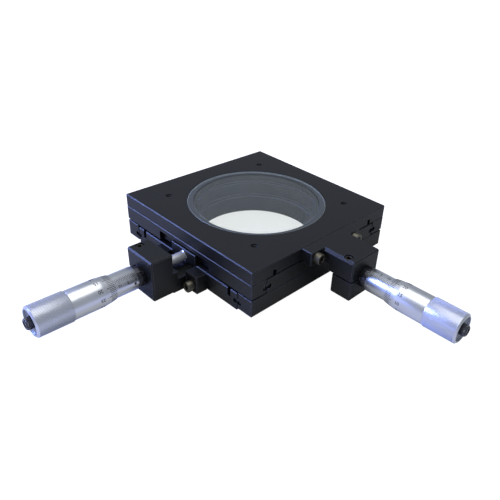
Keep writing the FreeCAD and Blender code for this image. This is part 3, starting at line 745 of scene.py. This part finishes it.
def barrel(axis):
    """Stem, shoulder and sleeve, with the spanner hole by the shoulder."""
    bore = SPINDLE_R + 0.05
    profile = [
        (BLOCK_IN + 0.5, bore), (BLOCK_IN + 0.5, STEM_R - 0.3), (BLOCK_IN + 0.8, STEM_R),
        (COLLAR_OUT, STEM_R), (COLLAR_OUT, SLEEVE_R - 0.35), (COLLAR_OUT + 0.1, SLEEVE_R - 0.13),
        (COLLAR_OUT + 0.35, SLEEVE_R), (SLEEVE_OUT - 0.3, SLEEVE_R), (SLEEVE_OUT, SLEEVE_R - 0.3),
        (SLEEVE_OUT, SLEEVE_BORE_R), (SLEEVE_BORE_IN, SLEEVE_BORE_R), (SLEEVE_BORE_IN, STEM_BORE_R),
        (STEM_BORE_IN, STEM_BORE_R), (STEM_BORE_IN, bore),
    ]
    chrome = f"satin_chrome_{axis}"
    piece = turned_piece(f"{axis}_sleeve", axis, profile, chrome, 128)
    piece = without(piece, plug(axis, SPANNER_R, SLEEVE_R - 1.8, SLEEVE_R + 1.8, chrome))
    # A black pin fills the spanner hole to 0.4 mm under the surface: painted shade in the hole.
    shade_pin = plug(axis, SPANNER_R - 0.01, SLEEVE_R - 1.7, SLEEVE_R - 0.4, "scale_black")
    settled(shade_pin, FIXED_BODY[axis])
    return settled(piece, FIXED_BODY[axis], [f"{axis}_barrel"])


def lock_collar(axis):
    """Blacked ring with six spanner slots."""
    profile = [
        (BLOCK_OUT, STEM_R), (BLOCK_OUT, COLLAR_R - 0.35), (BLOCK_OUT + 0.12, COLLAR_R - 0.1),
        (BLOCK_OUT + 0.4, COLLAR_R), (COLLAR_OUT - 0.4, COLLAR_R), (COLLAR_OUT - 0.12, COLLAR_R - 0.1),
        (COLLAR_OUT, COLLAR_R - 0.35), (COLLAR_OUT, STEM_R),
    ]
    piece = turned_piece(f"{axis}_collar", axis, profile, "black_steel")
    bm = bmesh.new()
    block(bm, (BLOCK_OUT + 1.2, -0.8, COLLAR_R - 0.5), (COLLAR_OUT - 1.2, 0.8, COLLAR_R + 1))
    slot = new_piece("collar_slots", tidy_mesh(bm, "collar_slots"), "black_steel")
    ringed(slot, COLLAR_SLOTS, math.radians(15), math.radians(360 / COLLAR_SLOTS), "black_steel")
    slot.data.transform(PLACE[axis])
    without(piece, slot)
    return settled(piece, FIXED_BODY[axis], [f"{axis}_lock_collar"])


def spindle(axis):
    """Ground spindle, the fine thread that drives it, and its tail."""
    profile = [
        (ANVIL_FACE, 0), (ANVIL_FACE, SPINDLE_R - 0.4), (ANVIL_FACE + 0.4, SPINDLE_R),
        (THREAD_IN, SPINDLE_R), (THREAD_IN + 0.8, THREAD_R - 0.2),
    ]
    for n in range(CRESTS):
        crest = THREAD_IN + 1.1 + n * PITCH
        profile += [(crest, THREAD_R), (crest + PITCH / 2, THREAD_R - 0.28)]
    profile += [
        (THREAD_OUT - 0.8, THREAD_R - 0.2), (THREAD_OUT, TAIL_R),
        (TAIL_OUT - 0.3, TAIL_R), (TAIL_OUT, TAIL_R - 0.3), (TAIL_OUT, 0),
    ]
    piece = turned_piece(f"{axis}_screw_spindle", axis, profile, "satin_steel", 64)
    return settled(piece, f"{axis}_thimble", [f"{axis}_spindle"])


def thimble(axis):
    """Bevelled edge, cylinder and the plain core under the knurl."""
    bore = SLEEVE_R + 0.1
    core = GRIP_R - 0.2
    profile = [
        (THIMBLE_EDGE, bore), (THIMBLE_EDGE, EDGE_R - 0.08), (THIMBLE_EDGE + 0.12, EDGE_R + 0.02),
        (BEVEL_END - 1.2, THIMBLE_R - 0.19), (BEVEL_END - 0.3, THIMBLE_R - 0.06),
        (BEVEL_END + 0.5, THIMBLE_R - 0.01), (BEVEL_END + 1.4, THIMBLE_R),
        (GRIP_IN - 0.35, THIMBLE_R), (GRIP_IN - 0.1, THIMBLE_R - 0.12),
        (GRIP_IN, GRIP_R - 0.35), (GRIP_IN + 0.35, core), (GRIP_OUT - 1.2, core),
        (GRIP_OUT - 1.1, GRIP_R - 0.05), (GRIP_OUT - 0.95, GRIP_R - 0.05),
        (GRIP_OUT - 0.15, GRIP_R - 0.85), (GRIP_OUT, GRIP_R - 1.05),
        (GRIP_OUT, PAN_R + 0.12), (GRIP_OUT - 0.12, PAN_R), (WEB_OUT, PAN_R), (WEB_OUT, TAIL_R),
        (WEB_IN, TAIL_R), (WEB_IN, bore),
    ]
    piece = turned_piece(f"{axis}_thimble_body", axis, profile, f"satin_chrome_{axis}", 144)
    return settled(piece, f"{axis}_thimble", [f"{axis}_thimble"])


def grip_knurl(axis):
    """Straight ribs round the grip, each with eased ends."""
    half = math.pi / GRIP_RIBS * 0.62 * GRIP_R
    crown = half * 0.38
    low, high = GRIP_IN + 0.25, GRIP_OUT - 1.0
    foot, top = GRIP_R - 0.27, GRIP_R
    bm = bmesh.new()
    sections = []
    for station, shrink, rise in (
        (low, 0.9, foot + 0.02), (low + 0.35, 1, top), (high - 0.2, 1, top), (high, 0.95, top - 0.08),
    ):
        near = crown * shrink
        ring = [(-half, foot), (-near, rise - 0.02), (0, rise), (near, rise - 0.02), (half, foot)]
        sections.append([bm.verts.new((station, y, z)) for y, z in ring])
    skinned(bm, sections)
    chrome = f"knurled_chrome_{axis}"
    piece = new_piece(f"{axis}_grip_knurl", tidy_mesh(bm, "rib"), chrome)
    ringed(piece, GRIP_RIBS, 0.0, 2 * math.pi / GRIP_RIBS, chrome)
    piece.data.transform(PLACE[axis])
    return settled(piece, f"{axis}_thimble")


def end_cap(axis):
    """Dished cap in the end of the grip, with the knob's hole through it."""
    hole = KNOB_R + 0.1
    profile = [
        (CAP_IN, hole), (CAP_IN, PAN_R - 0.05), (CAP_OUT - 0.2, PAN_R - 0.02), (CAP_OUT, PAN_R - 0.25),
        (CAP_OUT, PAN_R - 1.2), (CAP_OUT - 0.12, PAN_R - 1.3), (CAP_OUT - 0.12, hole + 0.9),
        (CAP_OUT, hole + 0.8), (CAP_OUT, hole + 0.4), (CAP_OUT - 0.4, hole),
    ]
    piece = turned_piece(f"{axis}_grip_end_cap", axis, profile, "dull_steel")
    return settled(piece, f"{axis}_thimble", [f"{axis}_thimble_end_cap"])


def knob(axis):
    """Blacked ratchet knob, finely ribbed, open at the end for its screw."""
    rib = ribbed(KNOB_RIBS, KNOB_RIB_SHARE)
    profile = [
        (TAIL_OUT + 0.6, 2.3), (TAIL_OUT + 0.6, KNOB_R - 0.1), (CAP_OUT + 0.3, KNOB_R - 0.1),
        (CAP_OUT + 0.5, KNOB_R, rib), (KNOB_OUT - 0.6, KNOB_R, rib), (KNOB_OUT - 0.15, KNOB_R - 0.4),
        (KNOB_OUT, KNOB_R - 0.6), (KNOB_OUT, 2.25), (KNOB_OUT - 0.12, 2.1), (SCREW_HEAD_IN - 0.05, 2.1),
        (SCREW_HEAD_IN - 0.05, 1.05), (CAP_OUT, 1.05), (CAP_OUT, 2.3),
    ]
    piece = turned_piece(f"{axis}_knob", axis, profile, "black_steel", 144)
    return settled(piece, f"{axis}_ratchet", [f"{axis}_ratchet_knob"])


def knob_screw(axis):
    """Slotted cheese head in the knob's end."""
    profile = [
        (KNOB_SCREW_IN, 0), (KNOB_SCREW_IN, 0.8), (KNOB_SCREW_IN + 0.2, 1.0),
        (SCREW_HEAD_IN, 1.0), (SCREW_HEAD_IN, 1.85),
        (SCREW_HEAD_IN + 0.1, 1.95), (SCREW_HEAD_IN + 0.55, 1.95), (SCREW_HEAD_IN + 0.75, 1.75),
        (SCREW_HEAD_IN + 0.8, 0),
    ]
    piece = turned_piece(f"{axis}_knob_screw", axis, profile, "ground_steel", 48)
    bm = bmesh.new()
    block(bm, (SCREW_HEAD_IN + 0.35, -0.25, -3), (SCREW_HEAD_IN + 1.8, 0.25, 3))
    without(piece, head_piece("slot", axis, bm, "ground_steel"))
    return settled(piece, f"{axis}_thimble", [f"{axis}_ratchet_screw"])


# ---------------------------------------------------------------- graduations
def thimble_surface(station):
    """Radius of the thimble's outside at a station."""
    share = min(1.0, max(0.0, (station - THIMBLE_EDGE) / (BEVEL_END - THIMBLE_EDGE)))
    return EDGE_R + share * (THIMBLE_R - EDGE_R)


def sleeve_surface(station):
    """Radius of the sleeve, the same at every station."""
    return SLEEVE_R


def wrapped(bm, surface, angle, radius):
    """Lays flat artwork, drawn in X along the head and Y round it, on the head at that angle."""
    for vert in bm.verts:
        station, up, high = vert.co
        turn = math.radians(angle) - up / radius
        r = surface(station) + high
        vert.co = (station, r * math.cos(turn), r * math.sin(turn))


def strip(bm, wide, low, high, steps=6):
    """Flat bar of that half width, in steps round the head."""
    for n in range(steps):
        y0 = low + (high - low) * n / steps
        y1 = low + (high - low) * (n + 1) / steps
        block(bm, (-wide, y0, -LINE_SUNK), (wide, y1, LINE_PROUD))


def figure(text, size, at, up):
    """A number as flat artwork, centred on its station and height, cut small enough to bend."""
    curve = bpy.data.curves.new("figure", "FONT")
    curve.body = text
    curve.size = size
    curve.align_x, curve.align_y = "CENTER", "CENTER"
    curve.extrude = LINE_PROUD
    curve.offset = size * 0.012
    curve.resolution_u = 3
    holder = linked("figure", curve)
    mesh = evaluated(holder)
    bpy.data.objects.remove(holder)
    bm = bmesh.new()
    bm.from_mesh(mesh)
    bmesh.ops.remove_doubles(bm, verts=bm.verts, dist=1e-5)
    bmesh.ops.triangulate(bm, faces=bm.faces)
    for _ in range(3):
        long = [e for e in bm.edges if e.calc_length() > BENDABLE]
        if long:
            bmesh.ops.subdivide_edges(bm, edges=long, cuts=1)
            bmesh.ops.triangulate(bm, faces=bm.faces)
    bm.transform(Matrix.Translation((at, up, 0)))
    return bm


def figures(name, size, at, step, up, surface, angle, turn, radius, count):
    """The numbers 0, 5, 10 and so on, each a step along and a turn back from the last."""
    made = []
    for n in range(count):
        bm = figure(str(5 * n), size, at + step * n, up)
        wrapped(bm, surface, angle - turn * n, radius)
        made.append(new_piece(name, tidy_mesh(bm, name), "scale_black"))
    return made


def sleeve_scale(axis):
    """Long line, whole and half millimetre lines and their figures on the sleeve."""
    zero = THIMBLE_EDGE - READING
    parts = []
    for name, count, first, step, low, high in (
        ("long_line", 1, 0, 1, -0.07, 0.07),
        ("millimetre_lines", TRAVEL + 1, 0, 1, 0.0, 1.5),
        ("five_lines", TRAVEL // 5 + 1, 0, 5, 1.4, 2.1),
        ("half_lines", TRAVEL, 0.5, 1, -1.3, 0.0),
    ):
        bm = bmesh.new()
        if name == "long_line":
            block(bm, (zero - 0.4, low, -LINE_SUNK), (zero + TRAVEL + 0.4, high, LINE_PROUD))
        else:
            strip(bm, LINE_HALF, low, high)
        wrapped(bm, sleeve_surface, DATUM[axis], SLEEVE_R)
        part = new_piece(name, tidy_mesh(bm, name), "scale_black")
        if name != "long_line":
            grown(
                part, STEPPED, Count=count, Start=(zero + first, 0, 0), Step=(step, 0, 0),
                Axis=(1, 0, 0), First_Turn=0.0, Turn=0.0, Finish=FINISH["scale_black"],
            )
        parts.append(part)
    parts += figures(
        "sleeve_figure", SLEEVE_FIGURE, zero, 5, 3.4, sleeve_surface, DATUM[axis], 0, SLEEVE_R,
        TRAVEL // 5 + 1,
    )
    piece = joined(f"{axis}_sleeve_scale", parts)
    piece.data.transform(PLACE[axis])
    return settled(piece, FIXED_BODY[axis])


def thimble_scale(axis):
    """Lines on the bevel, longer and wider at each five, with figures behind them."""
    parts = []
    zero = DATUM[axis] + SHOWN * DIVISION
    for name, count, turn, wide, end in (
        ("lines", DIVISIONS, DIVISION, BEVEL_LINE_HALF, BEVEL_LINE_LONG),
        ("fives", DIVISIONS // 5, 5 * DIVISION, BEVEL_FIVE_HALF, BEVEL_FIVE_LONG),
    ):
        bm = bmesh.new()
        block(bm, (THIMBLE_EDGE + 0.25, -wide, -0.06), (THIMBLE_EDGE + end, wide, LINE_PROUD))
        wrapped(bm, thimble_surface, zero, EDGE_R)
        part = new_piece(name, tidy_mesh(bm, name), "scale_black")
        parts.append(ringed(part, count, 0.0, -math.radians(turn), "scale_black"))
    parts += figures(
        "thimble_figure", THIMBLE_FIGURE, BEVEL_END + 2.0, 0, 0.0, thimble_surface, zero, 5 * DIVISION,
        THIMBLE_R, DIVISIONS // 5,
    )
    piece = joined(f"{axis}_thimble_scale", parts)
    piece.data.transform(PLACE[axis])
    return settled(piece, f"{axis}_thimble")


for axis in ("x", "y"):
    barrel(axis)
    lock_collar(axis)
    spindle(axis)
    thimble(axis)
    grip_knurl(axis)
    end_cap(axis)
    knob(axis)
    knob_screw(axis)
    sleeve_scale(axis)
    thimble_scale(axis)


# ---------------------------------------------------------------- socket screws
def socket_screw(head_high, shank_long, socket, head=2.75, shank=1.49):
    """Socket head screw about Z, its head up and the underside of its head at the origin."""
    rib = ribbed(24, 0.03)
    deep = head_high * 0.45
    profile = [
        (-shank_long, 0), (-shank_long, shank - 0.35), (-shank_long + 0.35, shank), (0, shank),
        (0, head - 0.15), (0.12, head - 0.03), (0.3, head, rib), (head_high - 0.4, head, rib),
        (head_high - 0.2, head - 0.13), (head_high, head - 0.35), (head_high, socket / 2 * 1.13),
        (head_high - 0.16, socket / 2, hexagon), (deep, socket / 2, hexagon), (deep - 0.25, 0),
    ]
    bm = lathe(profile, 72)
    bm.transform(Matrix.Scale(MM, 4) @ Matrix.Rotation(math.radians(-90), 4, "Y"))
    return new_piece("socket_screw", tidy_mesh(bm, "socket_screw"), "screw_steel")


def screws(name, pattern, spots, turn, body, finish="screw_steel"):
    """Screws at their spots, in millimetres and degrees, in place of a frame node."""
    piece = on_spots(name + "_set", spots, pattern, [math.radians(a) for a in turn], finish)
    return settled(piece, body, [name])


def bracket_screw():
    """One of the larger screws that hold a bracket to its plate."""
    return socket_screw(4.0, 14.0, 3.0, 3.5, 1.99)


DOWN = (180, 0, 0)
screws(
    "lower_rail_screws", socket_screw(2.9, 13.65, 2.5),
    [(s * RAIL_LINE, y, LOWER_RAIL_SEAT) for y in LOWER_STATIONS for s in BOTH], DOWN, "y_carriage",
)
screws(
    "upper_rail_screws", socket_screw(2.9, 12.0, 2.5),
    [(x, s * RAIL_LINE, UPPER_RAIL_SEAT) for x in UPPER_STATIONS for s in BOTH], DOWN, "x_carriage",
)
screws(
    "y_drive_tab_screws", socket_screw(1.7, 5.5, 2.0),
    [(s * 7.5, -47.0, TAB_SEAT) for s in BOTH], DOWN, "y_carriage",
)
screws(
    "x_bracket_screws", bracket_screw(),
    [(FLANGE_FACE, s * BRACKET_SCREW_OFF, TOP - BRACKET_SCREW_DEEP) for s in BOTH],
    (0, 90, 0), "x_carriage",
)
screws(
    "y_bracket_screws", bracket_screw(),
    [(s * BRACKET_SCREW_OFF, -FLANGE_FACE, BRACKET_SCREW_DEEP) for s in BOTH],
    (90, 0, 0), "base",
)
for name, spot, body in (
    ("x_clamp_screw", (CLAMP_STATION, -CLAMP_OFF, CLAMP_SEAT["x"]), "x_carriage"),
    ("y_clamp_screw", (-CLAMP_OFF, -CLAMP_STATION, CLAMP_SEAT["y"]), "base"),
):
    screws(name, socket_screw(2.9, 16.6, 2.5), [spot], (0, 0, 0), body, "darker_screw_steel")


# ---------------------------------------------------------------- threads and springs
def tube(points, radius, sides):
    """Round wire along points, closed at both ends."""
    bm = bmesh.new()
    rings = []
    count = len(points)
    for n, point in enumerate(points):
        ahead = points[min(n + 1, count - 1)] - points[max(n - 1, 0)]
        along = ahead.normalized()
        side = along.cross(Vector((0, 0, 1)))
        if side.length < 0.2:
            side = along.cross(Vector((0, 1, 0)))
        side.normalize()
        up = side.cross(along)
        ring = []
        for k in range(sides):
            angle = 2 * math.pi * k / sides
            ring.append(bm.verts.new(point + radius * (math.cos(angle) * side + math.sin(angle) * up)))
        rings.append(ring)
    for one, two in zip(rings, rings[1:]):

        def twist(step):
            return sum((one[k].co - two[(k + step) % sides].co).length for k in (0, 2))

        shift = min(range(sides), key=twist)
        for k in range(sides):
            a, b = one[k], one[(k + 1) % sides]
            c, d = two[(k + 1 + shift) % sides], two[(k + shift) % sides]
            bm.faces.new((a, b, c, d))
        rings[rings.index(two)] = two[shift:] + two[:shift]
    bm.faces.new(rings[0])
    bm.faces.new(rings[-1][::-1])
    return bm


def spring_line(start, end, turns=84, coil=1.08, eye=1.02, facets=12):
    """Eye, coils and eye of an extension spring along X, in millimetres."""
    points = []

    def hook(centre, way, first, sweep):
        for n in range(facets + 1):
            angle = math.radians(first + sweep * n / facets)
            rise = way * (-0.15 + 0.3 * n / facets)
            points.append(Vector((centre - way * eye * math.cos(angle), eye * math.sin(angle), rise)))

    hook(start, 1, -150, 330)
    first, last = start + eye + 0.25, end - eye - 0.25
    steps = turns * facets
    for n in range(steps + 1):
        angle = 2 * math.pi * n / facets
        x = first + (last - first) * n / steps
        points.append(Vector((x, coil * math.cos(angle), coil * math.sin(angle))))
    hook(end, -1, 180, -330)
    return points


def return_spring(axis, ends, place):
    """Coil spring between its eyes at those ends, reaching from one body to the other."""
    bm = tube(spring_line(*ends), WIRE_R, 6)
    bm.transform(place @ Matrix.Scale(MM, 4))
    piece = new_piece(f"{axis}_coil_spring", tidy_mesh(bm, "spring"), "spring_steel")
    settled(piece, None, [f"{axis}_return_spring"])
    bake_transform(piece)


LOW_SPRING, HIGH_SPRING = 9.475 * MM, 25.75 * MM
BASE_SLOT, TOP_SLOT = 43.1 * MM, 44.9 * MM
WIRE_R = 0.2
return_spring(
    "y", (-22, 52), Matrix.Translation((BASE_SLOT, 0, LOW_SPRING)) @ QUARTER,
)
return_spring(
    "x", (-52, 22), Matrix.Translation((0, TOP_SLOT, HIGH_SPRING)),
)


def hole_threads():
    """Thread crests inside the four tapped holes of the top plate."""
    root = TAPPED_CREST_R + 0.32
    outline = [(root, -0.34), (TAPPED_CREST_R, -0.06), (TAPPED_CREST_R, 0.06), (root, 0.34)]
    bm = bmesh.new()
    sections = []
    steps, turns, lowest = 24, 5, 28.6
    for n in range(turns * steps + 1):
        angle = 2 * math.pi * n / steps
        rise = lowest + TAPPED_PITCH * n / steps
        sections.append([
            bm.verts.new((r * math.cos(angle), r * math.sin(angle), rise + dz)) for r, dz in outline
        ])
    skinned(bm, sections)
    bm.transform(Matrix.Scale(MM, 4))
    thread = new_piece("thread", tidy_mesh(bm, "thread"), "ground_steel")
    spots = [(x * TAPPED_AT, y * TAPPED_AT, 0) for x in BOTH for y in BOTH]
    piece = on_spots("tapped_hole_threads", spots, thread, (0.0, 0.0, 0.0), "top_anodise")
    settled(piece, "x_carriage")


hole_threads()


# ---------------------------------------------------------------- camera, floor and light
def camera():
    """Corner view from above, with the two heads coming forward."""
    data = bpy.data.cameras.new("camera")
    data.sensor_width = 36.0
    data.lens = 37.99
    data.shift_x = -0.0769
    data.shift_y = 0.0038
    data.clip_start, data.clip_end = 0.01, 50
    eye = linked("camera", data)
    right = Vector((0.721004, 0.690215, 0.061301))
    up = Vector((-0.409245, 0.352766, 0.841472))
    back = right.cross(up)
    turn = Matrix((right, up, back)).transposed().to_4x4()
    eye.matrix_world = Matrix.Translation((0.231378, -0.225269, 0.197263)) @ turn
    bpy.context.scene.camera = eye


def softbox(name, centre, aim, size, power, colour):
    """Soft rectangular lamp at its centre, facing its aim."""
    data = bpy.data.lights.new(name, "AREA")
    data.shape = "RECTANGLE"
    data.size, data.size_y = size
    data.energy = power
    data.color = colour
    direction = Vector(aim) - Vector(centre)
    facing = direction.to_track_quat("-Z", "Y").to_matrix().to_4x4()
    linked(name, data).matrix_world = Matrix.Translation(centre) @ facing


def pale_floor():
    """White sweep that stays white to the eye and lights the metal as a pale grey bench."""
    f = Finish("pale_floor", Roughness=0.9, Specular_IOR_Level=0.1)
    f.feed(Base_Color=f.mixed(grey(0.62), grey(0.66), f.noise(3, 2)))
    path = f.node("ShaderNodeLightPath", output="Is Camera Ray")
    through = f.node("ShaderNodeLightPath", output="Is Transmission Ray")
    glow = f.node("ShaderNodeEmission", {}, {"Color": (1, 1, 1, 1), "Strength": 0.97})
    lit = f.node("ShaderNodeBsdfDiffuse", {}, {"Color": (0.35, 0.35, 0.35, 1)})
    both = f.node("ShaderNodeAddShader", {}, {0: glow, 1: lit})
    f.show(path.most(through), both)
    bm = bmesh.new()
    bmesh.ops.create_grid(bm, x_segments=1, y_segments=1, size=12)
    bm.transform(Matrix.Translation((0, 0, -0.0003)))
    mesh = bpy.data.meshes.new("floor")
    bm.to_mesh(mesh)
    bm.free()
    mesh.materials.append(f.material)
    linked("floor", mesh)


def room():
    """Plain pale surround, white behind the object."""
    world = bpy.data.worlds.new("room")
    world.use_nodes = True
    bpy.context.scene.world = world
    links, made = world.node_tree.links, world.node_tree.nodes
    sky = made["Background"]
    sky.inputs["Color"].default_value = (0.84, 0.90, 1.0, 1)
    sky.inputs["Strength"].default_value = 0.38
    backdrop = made.new("ShaderNodeBackground")
    backdrop.inputs["Color"].default_value = grey(1.0)
    path = made.new("ShaderNodeLightPath")
    chosen = made.new("ShaderNodeMixShader")
    links.new(path.outputs["Is Camera Ray"], chosen.inputs[0])
    links.new(sky.outputs[0], chosen.inputs[1])
    links.new(backdrop.outputs[0], chosen.inputs[2])
    links.new(chosen.outputs[0], made["World Output"].inputs["Surface"])


camera()
pale_floor()
room()
softbox("overhead", (0.05, -0.20, 0.95), (0.05, -0.20, 0), (1.0, 1.1), 5.0, (1.0, 1.0, 1.0))
softbox("window", (-0.70, -0.57, 0.53), (0, -0.06, 0.03), (0.42, 0.26), 11.5, (0.28, 0.38, 1.0))
softbox("window_low", (-0.50, -1.10, 0.16), (0.03, -0.03, 0.02), (1.0, 0.30), 1.6, (0.25, 0.33, 1.0))

scene = bpy.context.scene
scene.view_settings.view_transform = "Standard"
scene.view_settings.look = "None"
